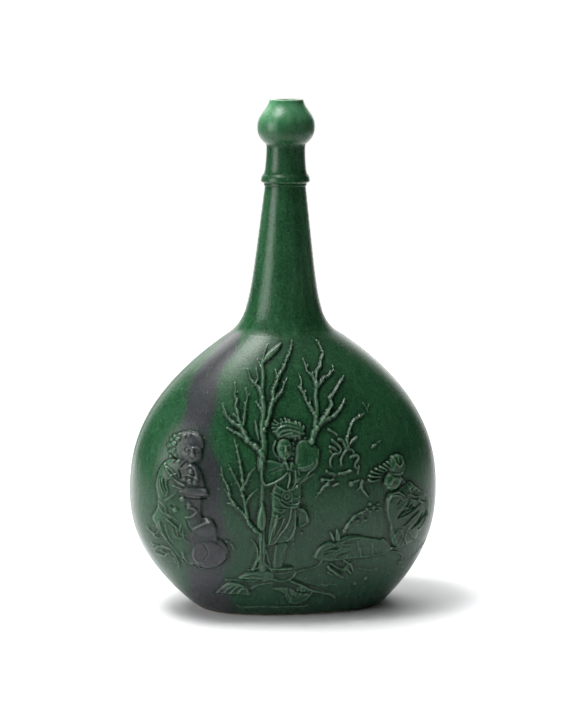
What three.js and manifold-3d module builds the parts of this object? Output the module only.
// A flattened, mould-pressed bottle with a long tapering neck, a collar and a garlic-head mouth,
// green-glazed stonepaste in the form of a European glass flask. Millimetres, +Z up, front at -Y.
// The origin is at the middle of the underside of the foot. The potter's own pieces are kept apart:
// two pressed body halves, a base slab, two thrown neck lengths joined under a collar, a thrown mouth
// bulb, and the coils of clay that back the seams inside.

import * as THREE from "three";
import { mergeVertices } from "three/addons/utils/BufferGeometryUtils.js";
import Module from "manifold-3d";

const wasm = await Module();
wasm.setup();

// Heights of the body above the table, and of what stands on it
const bellyHeight = 76.5;
const shoulderHeight = 181;
const lowerNeckLength = 98.5;
const upperNeckLength = 22.1;
const mouthBulbHeight = 28.4;

// Body, outside
const bellyWidth = 201;
const bellyDepth = 125;
const footWidth = 122;
const footDepth = 73;
const footOffset = 4.2;
const lowerBellyPower = 2.2;
const upperBellyPower = 2.33;
const bodySquareness = 2.35;

// Relief carved in the mould: how far it stands proud of the body
const figureRelief = 1.5;
const treeRelief = 1.3;
const groundRelief = 0.8;

// Neck, outside: a straight cone that flares out at its foot
const neckFootWidth = 68;
const neckFootDepth = 58;
const neckConeFootDiameter = 48.4;
const neckTopDiameter = 25.2;
const neckFlareReach = 9.8;
const upperNeckWaistDiameter = 23.9;
const upperNeckWaistAboveJoint = 17.3;
const upperNeckTopDiameter = 24.5;
const mouthLean = 2.1;

// Collar
const collarDiameter = 31.2;
const collarHeight = 8.4;
const collarLipHeight = 3.2;
const collarBelowJoint = 2.7;
const collarEdge = 0.3;
const coveReach = 0.8;
const coveRise = 0.72;

// Mouth bulb and lip
const bulbDiameter = 36.9;
const bulbWidestAboveJoint = 10.7;
const lowerBulbPower = 2.2;
const upperBulbPower = 1.2;
const lipDiameter = 22;
const mouthBore = 13.4;
const lipBoreLength = 7;

// Walls
const bodyWall = 5;
const neckWall = 4.4;
const bulbWall = 4;
const baseThickness = 6;
const footRimWidth = 9;
const footRecess = 1.6;
const footEdgeRadius = 1.8;

// Coils of clay worked into the seams from inside
const seamCoilDiameter = 7;

// Where one piece stands off another
const luteGap = 0.3;
const coilGap = 0.6;

// How far a cutting solid runs past what it cuts
const cutPast = 2;

// Fineness of the facets
const bodySides = 48;
const neckSides = 36;
const coilSides = 8;
const bodyRows = 22;
const cavityRows = 14;
const sideCoilRows = 16;
const sideCoilSteps = 20;
const neckRows = 10;
const bulbRows = 7;
const slopeStep = 0.5;

const neckJointHeight = shoulderHeight + lowerNeckLength;
const upperNeckWaistHeight = neckJointHeight + upperNeckWaistAboveJoint;
const bulbJointHeight = neckJointHeight + upperNeckLength;
const bottleHeight = bulbJointHeight + mouthBulbHeight;
const bellyHalfWidth = bellyWidth / 2;
const bellyHalfDepth = bellyDepth / 2;
const footHalfWidth = footWidth / 2;
const footHalfDepth = footDepth / 2;
const neckFootHalfWidth = neckFootWidth / 2;
const neckFootHalfDepth = neckFootDepth / 2;
const collarBottom = neckJointHeight - collarBelowJoint;
const collarTop = collarBottom + collarHeight;
const bulbWidestHeight = bulbJointHeight + bulbWidestAboveJoint;

// Half the body's width or depth at height z: it bulges from the foot and closes in to the neck's foot.
function bodyHalf(z, footHalf, bellyHalf, neckHalf) {
  if (z < bellyHeight) {
    return bellyHalf - (bellyHalf - footHalf) * ((bellyHeight - z) / bellyHeight) ** lowerBellyPower;
  }
  const rise = (z - bellyHeight) / (shoulderHeight - bellyHeight);
  return bellyHalf - (bellyHalf - neckHalf) * rise ** upperBellyPower;
}

const bodyHalfWidth = (z) => bodyHalf(z, footHalfWidth, bellyHalfWidth, neckFootHalfWidth);
const bodyHalfDepth = (z) => bodyHalf(z, footHalfDepth, bellyHalfDepth, neckFootHalfDepth);

// Half the lower neck's width or depth: a straight cone, with a flare that dies away upwards.
function neckHalf(z, footHalf) {
  const coneFoot = neckConeFootDiameter / 2;
  const coneTop = neckTopDiameter / 2;
  const rise = (z - shoulderHeight) / (neckJointHeight - shoulderHeight);
  const flare = (footHalf - coneFoot) * Math.exp(-(z - shoulderHeight) / neckFlareReach);
  return coneFoot + (coneTop - coneFoot) * rise + flare;
}

const neckHalfWidth = (z) => neckHalf(z, neckFootHalfWidth);
const neckHalfDepth = (z) => neckHalf(z, neckFootHalfDepth);

// How square the body's level section is: 2 is a true ellipse, as it is where the neck starts.
function squareness(z) {
  const rise = THREE.MathUtils.clamp((z - bellyHeight) / (shoulderHeight - bellyHeight), 0, 1);
  return bodySquareness + (2 - bodySquareness) * rise * rise;
}

// How much wider than the wall a sloping wall is when it is measured level.
function levelWall(half, z, wall) {
  const slope = (half(z + slopeStep) - half(z - slopeStep)) / (2 * slopeStep);
  return wall * Math.sqrt(1 + slope * slope);
}

const cavityHalfWidth = (z) => bodyHalfWidth(z) - levelWall(bodyHalfWidth, z, bodyWall);
const cavityHalfDepth = (z) => bodyHalfDepth(z) - levelWall(bodyHalfDepth, z, bodyWall);

// Where the axis stands at height z: the foot is set off to +X, and the neck leans that way too.
function axisX(z) {
  const belowBelly = Math.max(0, 1 - z / bellyHeight);
  const aboveShoulder = Math.max(0, z - shoulderHeight) / (bottleHeight - shoulderHeight);
  return footOffset * belowBelly ** 2 + mouthLean * aboveShoulder;
}

// Evenly spaced heights from low to high, ends included.
function heights(low, high, rows) {
  return Array.from({ length: rows + 1 }, (_, i) => low + ((high - low) * i) / rows);
}

// A closed profile turned about the upright axis. Points are [radius, height], up outside and down inside.
function turn(points, sides) {
  const profile = points.map(([radius, z]) => new THREE.Vector2(Math.max(radius, 0), z));
  return new THREE.LatheGeometry(profile, sides).rotateX(Math.PI / 2);
}

// Moves every corner of a geometry by a rule that takes and returns a Vector3.
function reshape(geometry, rule) {
  const place = geometry.attributes.position;
  const corner = new THREE.Vector3();
  for (let i = 0; i < place.count; i += 1) {
    corner.fromBufferAttribute(place, i);
    rule(corner);
    place.setXYZ(i, corner.x, corner.y, corner.z);
  }
  return geometry;
}

const snap = (value) => (Math.abs(value) < 1e-6 ? 0 : value);

// Joins the corners that coincide, so that the surface is closed.
function weld(geometry) {
  geometry.deleteAttribute("normal");
  geometry.deleteAttribute("uv");
  reshape(geometry, (p) => p.set(snap(p.x), snap(p.y), p.z));
  return mergeVertices(geometry, 1e-5);
}

function toSolid(geometry) {
  const welded = weld(geometry);
  return new wasm.Manifold(
    new wasm.Mesh({
      numProp: 3,
      vertProperties: Float32Array.from(welded.attributes.position.array),
      triVerts: Uint32Array.from(welded.index.array),
    }),
  );
}

function toGeometry(solid) {
  const mesh = solid.getMesh();
  const geometry = new THREE.BufferGeometry();
  geometry.setAttribute("position", new THREE.BufferAttribute(mesh.vertProperties, 3));
  geometry.setIndex(new THREE.BufferAttribute(mesh.triVerts, 1));
  return geometry;
}

// Raises a cosine or sine to a power and keeps its sign, which squares off an ellipse.
const squared = (share, power) => Math.sign(share) * Math.abs(share) ** power;

// A turned solid pressed into the body's level sections, which are wider than deep.
function flattened(points, sides, halfWidth, halfDepth) {
  return reshape(turn(points, sides), (p) => {
    const angle = Math.atan2(p.y, p.x);
    const share = Math.hypot(p.x, p.y) / halfWidth(p.z);
    const power = 2 / squareness(p.z);
    p.x = share * halfWidth(p.z) * squared(Math.cos(angle), power) + axisX(p.z);
    p.y = share * halfDepth(p.z) * squared(Math.sin(angle), power);
  });
}

// The body from the foot to the shoulder, with the base slab's share still on it, or a like form that
// stands proud of it all round.
function wholeBody(proud = 0) {
  const width = (z) => bodyHalfWidth(z) + levelWall(bodyHalfWidth, z, proud);
  const depth = (z) => bodyHalfDepth(z) + levelWall(bodyHalfDepth, z, proud);
  const outside = heights(0, shoulderHeight, bodyRows).map((z) => [width(z), z]);
  outside.unshift([0, 0]);
  outside.push([0, shoulderHeight]);
  return toSolid(flattened(outside, bodySides, width, depth));
}

// The hollow inside the body. It runs past both ends, so that the shells are cut clean through.
function bodyCavity() {
  const wall = heights(baseThickness, shoulderHeight, cavityRows).map((z) => [cavityHalfWidth(z), z]);
  const low = wall[0][0];
  const high = wall[wall.length - 1][0];
  const top = shoulderHeight + cutPast;
  const points = [[0, -cutPast], [low, -cutPast], ...wall, [high, top], [0, top]];
  const held = (z) => THREE.MathUtils.clamp(z, baseThickness, shoulderHeight);
  const width = (z) => cavityHalfWidth(held(z));
  const depth = (z) => cavityHalfDepth(held(z));
  return toSolid(flattened(points, bodySides, width, depth));
}

// Half the space above the base slab: side is -1 for the front and +1 for the rear.
function halfSpace(side) {
  const reach = bellyWidth;
  const box = new THREE.BoxGeometry(2 * reach, reach, shoulderHeight - baseThickness);
  box.translate(0, (side * reach) / 2, (shoulderHeight + baseThickness) / 2);
  return toSolid(box);
}

// The garden scene in the mould, as [x, z] seen from outside: closed outlines, and strips for what
// branches or winds, each with its width at the root, its width at the tip and its route.
const figureOutlines = [
  [[-79, 106], [-85.5, 97], [-86.5, 82], [-89, 67], [-80, 53], [-71, 42], [-62, 37.5], [-50, 40.5],
    [-43.6, 49], [-51, 62], [-60, 73], [-60, 84], [-58, 92], [-62, 103]],
  [[-78.5, 105], [-79, 115], [-75.5, 121], [-68, 123.5], [-60.5, 122.5], [-58, 117], [-58.5, 109], [-62, 102]],
  [[-13.6, 54], [-15.2, 37], [-3, 36.5], [-9.2, 39], [-8, 54], [-2.6, 54.6], [-1.6, 62], [6.8, 67.6],
    [5.7, 73.6], [1.4, 77], [1.6, 94], [-5, 106], [-22, 106], [-23.8, 98], [-21, 91.5], [-15.5, 90],
    [-17, 75], [-18.8, 53.4]],
  [[-13.2, 114], [-11, 105], [-5, 105], [-3.2, 114], [4.6, 123], [2, 130], [-7, 132], [-14, 130], [-15, 124]],
  [[-1, 101], [5, 99.6], [9.6, 100.8], [13.6, 106], [13.8, 112.4], [8.4, 118.6], [3, 119.4], [-1, 116]],
  [[60, 83.4], [71, 87], [75, 88.2], [84.6, 80], [88.3, 70], [87.6, 62], [80, 49], [72, 46], [64, 46.6],
    [60.4, 54], [60.6, 61], [57, 74], [57.4, 79.4]],
  [[57, 91], [58, 85], [63, 82], [68, 85.5], [71, 98], [66, 106.8], [60, 104.5], [49, 98.5], [46, 92.5]],
];

const groundOutlines = [
  [[10.5, 43.3], [12.8, 49], [20, 54.5], [35, 57.6], [48, 54.6], [60, 49], [62, 45.5], [56, 41.5],
    [30, 40.5]],
  [[-48.5, 19], [-46, 23.6], [-41, 27], [-31, 24.2], [-28.4, 17.6]],
  [[-15, 22.3], [-6, 17.6], [-2, 11.2], [4, 11], [11, 15.6], [9, 18], [4, 18.6], [-8, 23.6]],
];

const treeStrips = [
  [5.6, 2.4, [-22, 34], [-22.7, 70], [-21, 128], [-19, 166]],
  [2.6, 1.6, [-19, 165], [-6.5, 176.8]],
  [2.9, 1.4, [-20.5, 126], [-13.8, 146], [-5.7, 163], [1.2, 178]],
  [2.2, 1.4, [-14, 143], [-4, 157]],
  [2.2, 1.4, [-20, 144], [-28.2, 162]],
  [3.2, 1.6, [-21.5, 109], [-32, 121], [-43.6, 127.2]],
  [2.8, 1.4, [-31, 120], [-36.3, 134], [-37, 153]],
  [2.2, 1.4, [-33.3, 128], [-30.2, 150]],
  [3.2, 1.6, [-23, 60], [-32, 71], [-44.2, 80.6]],
  [2.6, 1.4, [-32, 70], [-35.2, 89], [-43, 105]],
  [2.2, 1.4, [-34.8, 88], [-39, 121]],
  [3.8, 2, [9, 117], [13.3, 133], [14.4, 151], [20.4, 170], [17.3, 178]],
  [2.6, 1.4, [12.8, 132], [6, 148], [3.4, 160]],
  [2.2, 1.4, [14.6, 150], [26.3, 161]],
  [3, 1.6, [12, 124], [23, 140], [33, 156.2]],
  [2.4, 1.6, [17.5, 130], [32.3, 143]],
];

const rockStrips = [
  [2.2, 2.2, [27, 119], [32, 112.5], [28, 103.3]],
  [2.2, 2.2, [32.6, 113], [33, 121], [44.3, 133.4]],
  [2.2, 2.2, [15.2, 94.3], [26.5, 97.6], [34, 99]],
  [2, 2, [19, 91.8], [11, 83.2]],
  [2, 2, [29.6, 57], [37, 69.8], [47, 74.6]],
  [2, 2, [-44, 28.6], [-3, 28.5], [12, 36.8], [16.5, 43]],
  [2.2, 2.2, [-3.2, 27.6], [12, 19.6], [27, 13]],
];

// The closed outline of a strip, which tapers along its route.
function strip([rootWidth, tipWidth, ...route]) {
  const last = route.length - 1;
  const edges = route.map(([x, z], i) => {
    const [fromX, fromZ] = route[Math.max(i - 1, 0)];
    const [toX, toZ] = route[Math.min(i + 1, last)];
    const half = THREE.MathUtils.lerp(rootWidth, tipWidth, i / last) / 2;
    const out = new THREE.Vector2(fromZ - toZ, toX - fromX).setLength(half);
    return [[x + out.x, z + out.y], [x - out.x, z - out.y]];
  });
  return [...edges.map(([left]) => left), ...edges.map(([, right]) => right).reverse()];
}

// An outline as a bar that runs from the middle of the body out through its front.
function bar(outline) {
  const section = new THREE.Shape(outline.map(([x, z]) => new THREE.Vector2(x, z)));
  return new THREE.ExtrudeGeometry(section, { depth: bellyDepth, bevelEnabled: false }).rotateX(Math.PI / 2);
}

// Outlines pressed out of one side of the body: side is -1 for the front and +1 for the rear.
function relief(outlines, proud, side) {
  const turned = side > 0 ? Math.PI : 0;
  const bars = outlines.map((outline) => toSolid(bar(outline).rotateZ(turned)));
  return bars.reduce((joined, next) => joined.add(next)).intersect(wholeBody(proud));
}

function bodyShell(side) {
  const body = wholeBody()
    .add(relief(figureOutlines, figureRelief, side))
    .add(relief(treeStrips.map(strip), treeRelief, side))
    .add(relief([...groundOutlines, ...rockStrips.map(strip)], groundRelief, side));
  return toGeometry(body.subtract(bodyCavity()).intersect(halfSpace(side)));
}

// The base slab: the bottom of the body's outline with a softened edge, hollowed a little underneath.
function baseSlab() {
  const edge = [0, 30, 60, 90].map((degrees) => {
    const angle = THREE.MathUtils.degToRad(degrees);
    const z = footEdgeRadius * (1 - Math.cos(angle));
    return [bodyHalfWidth(z) - footEdgeRadius * (1 - Math.sin(angle)), z];
  });
  const side = heights(footEdgeRadius, baseThickness, 3).slice(1).map((z) => [bodyHalfWidth(z), z]);
  const rimInside = footHalfWidth - footRimWidth;
  const rimInsideDepth = footHalfDepth - footRimWidth;
  const points = [[0, 0], ...edge, ...side, [0, baseThickness]];
  const slab = toSolid(flattened(points, bodySides, bodyHalfWidth, bodyHalfDepth));
  const slant = [[rimInside + cutPast, -cutPast], [rimInside - footRecess, footRecess]];
  const hollow = [[0, -cutPast], ...slant, [0, footRecess]];
  const recess = flattened(hollow, bodySides, () => rimInside, () => rimInsideDepth);
  return toGeometry(slab.subtract(toSolid(recess)));
}

const coilRadius = seamCoilDiameter / 2;
const baseCoilHeight = baseThickness + coilRadius + coilGap;
const shoulderCoilHeight = shoulderHeight - coilRadius;

// How far from the axis a coil's middle lies at height z, when the coil rests against the cavity's wall.
const coilReach = (cavityHalf, z) => cavityHalf(z) - levelWall(cavityHalf, z, coilRadius + coilGap);

// A coil that lies round the inside of the wall at one height, on an oval of the wall's own shape.
function ringCoil(z) {
  const reachWidth = coilReach(cavityHalfWidth, z);
  const reachDepth = coilReach(cavityHalfDepth, z);
  const power = 2 / squareness(z);
  const ring = new THREE.TorusGeometry(reachWidth, coilRadius, coilSides, bodySides);
  return weld(
    reshape(ring, (p) => {
      const angle = Math.atan2(p.y, p.x);
      const [cosine, sine] = [Math.cos(angle), Math.sin(angle)];
      const outwards = Math.hypot(p.x, p.y) - reachWidth;
      const normal = new THREE.Vector2(
        squared(cosine, 2 - power) / reachWidth,
        squared(sine, 2 - power) / reachDepth,
      ).normalize();
      p.x = reachWidth * squared(cosine, power) + outwards * normal.x + axisX(z);
      p.y = reachDepth * squared(sine, power) + outwards * normal.y;
      p.z += z;
    }),
  );
}

// A coil up the inside of one side seam, between the base coil and the shoulder coil.
function sideCoil(side) {
  const low = baseCoilHeight + seamCoilDiameter + coilGap;
  const high = shoulderCoilHeight - seamCoilDiameter - coilGap;
  const route = heights(low, high, sideCoilRows).map(
    (z) => new THREE.Vector3(side * coilReach(cavityHalfWidth, z) + axisX(z), 0, z),
  );
  const section = new THREE.Shape();
  section.absarc(0, 0, coilRadius, 0, 2 * Math.PI);
  const path = new THREE.CatmullRomCurve3(route);
  const sweep = { steps: sideCoilSteps, curveSegments: coilSides, extrudePath: path, bevelEnabled: false };
  return weld(new THREE.ExtrudeGeometry(section, sweep));
}

// The thrown lower neck: flared foot on the shoulder, plain top under the collar.
function lowerNeck() {
  const levels = heights(shoulderHeight, neckJointHeight, neckRows);
  const outside = levels.map((z) => [neckHalfWidth(z), z]);
  const inside = levels.map((z) => [neckHalfWidth(z) - levelWall(neckHalfWidth, z, neckWall), z]).reverse();
  return weld(flattened([...outside, ...inside, outside[0]], neckSides, neckHalfWidth, neckHalfDepth));
}

// The lower neck ends round, so what stands on it is round too.
function roundTube(outside, inside, sides = neckSides) {
  const closed = [...outside, ...inside, outside[0]];
  return weld(
    reshape(turn(closed, sides), (p) => {
      p.x += axisX(p.z);
    }),
  );
}

const neckJointBore = neckHalfWidth(neckJointHeight) - levelWall(neckHalfWidth, neckJointHeight, neckWall);
const bulbJointBore = upperNeckTopDiameter / 2 - neckWall;

// The thrown upper neck, drawn in to a waist between the collar and the bulb.
function upperNeckRadius(z) {
  const waist = upperNeckWaistDiameter / 2;
  const below = z < upperNeckWaistHeight;
  const end = (below ? neckTopDiameter : upperNeckTopDiameter) / 2;
  const endHeight = below ? neckJointHeight : bulbJointHeight;
  const away = (z - upperNeckWaistHeight) / (endHeight - upperNeckWaistHeight);
  return waist + ((end - waist) * (1 - Math.cos(Math.PI * away))) / 2;
}

function upperNeck() {
  const outside = heights(neckJointHeight, bulbJointHeight, 6).map((z) => [upperNeckRadius(z), z]);
  const inside = [[bulbJointBore, bulbJointHeight], [neckJointBore, neckJointHeight]];
  return roundTube(outside, inside);
}

// The collar: a coil rounded into a bead with a sloping top, slipped over the joint in the neck.
function collarRing() {
  const rim = collarDiameter / 2;
  const round = collarLipHeight / 2;
  const bead = [-90, -45, 0, 45].map((degrees) => {
    const angle = THREE.MathUtils.degToRad(degrees);
    return [rim - round + round * Math.cos(angle), collarBottom + round + round * Math.sin(angle)];
  });
  const bore = [
    [upperNeckRadius(collarTop) + luteGap, collarTop],
    [neckTopDiameter / 2 + luteGap, neckJointHeight],
    [neckHalfWidth(collarBottom) + luteGap, collarBottom],
  ];
  const beadTop = bead[bead.length - 1];
  const coveFoot = [
    THREE.MathUtils.lerp(beadTop[0], bore[0][0], coveReach),
    THREE.MathUtils.lerp(beadTop[1], collarTop, coveRise),
  ];
  return roundTube([...bead, coveFoot, [bore[0][0] + collarEdge, collarTop]], bore);
}

// The mouth bulb's outside: it swells from the neck, then draws in to the lip in an S.
function bulbRadius(z) {
  const widest = bulbDiameter / 2;
  const foot = upperNeckTopDiameter / 2;
  if (z < bulbWidestHeight) {
    return widest - (widest - foot) * ((bulbWidestHeight - z) / bulbWidestAboveJoint) ** lowerBulbPower;
  }
  const rise = ((z - bulbWidestHeight) / (bottleHeight - bulbWidestHeight)) ** upperBulbPower;
  return widest - ((widest - lipDiameter / 2) * (1 - Math.cos(Math.PI * rise))) / 2;
}

function mouthBulb() {
  const lower = heights(bulbJointHeight, bulbWidestHeight, bulbRows);
  const upper = heights(bulbWidestHeight, bottleHeight, bulbRows).slice(1);
  const outside = [...lower, ...upper].map((z) => [bulbRadius(z), z]);
  const throat = bottleHeight - lipBoreLength;
  const inside = heights(bulbJointHeight + bulbWall, throat - bulbWall / 2, bulbRows - 2).map((z) => [
    Math.max(bulbRadius(z) - bulbWall, bulbJointBore),
    z,
  ]);
  const bore = mouthBore / 2;
  const down = [[bore, bottleHeight], [bore, throat], ...inside.reverse(), [bulbJointBore, bulbJointHeight]];
  return roundTube(outside, down);
}

const glazedGreen = { color: 0x1f5b36, roughness: 0.25, metalness: 0 };
const glazedPurple = { color: 0x3d3a44, roughness: 0.3, metalness: 0 };
const bareStonepaste = { color: 0xb9a88c, roughness: 0.85, metalness: 0 };

function piece(name, geometry, finish) {
  geometry.computeVertexNormals();
  const mesh = new THREE.Mesh(geometry, new THREE.MeshStandardMaterial(finish));
  mesh.name = name;
  return mesh;
}

const bottle = new THREE.Group();
bottle.add(
  piece("front_shell", bodyShell(-1), glazedGreen),
  piece("rear_shell", bodyShell(1), glazedGreen),
  piece("base_slab", baseSlab(), glazedPurple),
  piece("base_seam_coil", ringCoil(baseCoilHeight), bareStonepaste),
  piece("left_seam_coil", sideCoil(-1), bareStonepaste),
  piece("right_seam_coil", sideCoil(1), bareStonepaste),
  piece("shoulder_seam_coil", ringCoil(shoulderCoilHeight), bareStonepaste),
  piece("lower_neck", lowerNeck(), glazedGreen),
  piece("upper_neck", upperNeck(), glazedGreen),
  piece("collar_ring", collarRing(), glazedGreen),
  piece("mouth_bulb", mouthBulb(), glazedGreen),
);

export default bottle;
